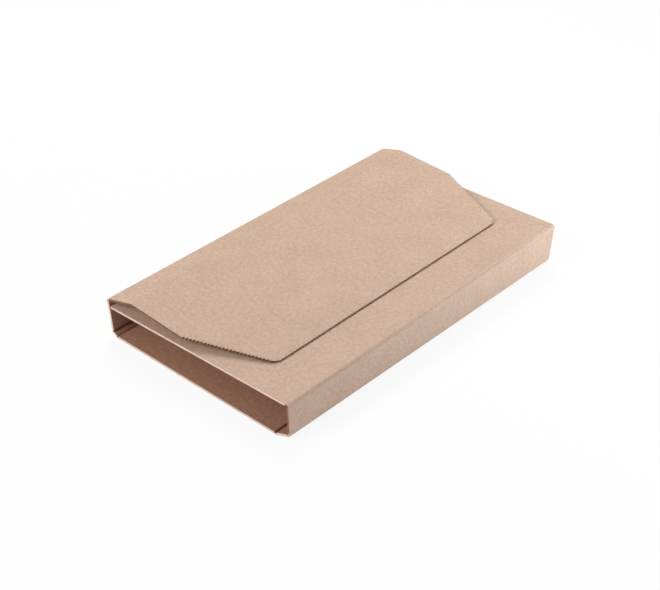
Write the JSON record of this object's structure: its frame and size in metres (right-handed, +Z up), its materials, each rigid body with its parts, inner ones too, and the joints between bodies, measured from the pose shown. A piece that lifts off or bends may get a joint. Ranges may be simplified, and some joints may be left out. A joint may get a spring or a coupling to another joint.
{
  "type": "wraparound mailer",
  "caption": "Wraparound mailer folded from a sheet of kraft board, open at both ends, with a serrated closure flap hinged at one side wall.",
  "frame": {"origin": "middle of the base's underside, which lies on the floor", "axes": "+X from the hinged left wall to the right wall, +Y along the folds towards the far open end, +Z up"},
  "size_m": [0.1907, 0.3203, 0.0435],
  "materials": {
    "kraft_board": "matte uncoated kraft liner"
  },
  "bodies": {
    "wrap": {"folded_wrap": "kraft_board"},
    "closure": {"closure_flap": "kraft_board"}
  },
  "joints": [
    {"name": "closure_hinge", "type": "hinge", "parent": "wrap", "child": "closure", "pos_m": [-0.09165, 0, 0.03556], "axis": [-0.0125, -0.9998, -0.0125], "range_deg": [0, 180]}
  ]
}
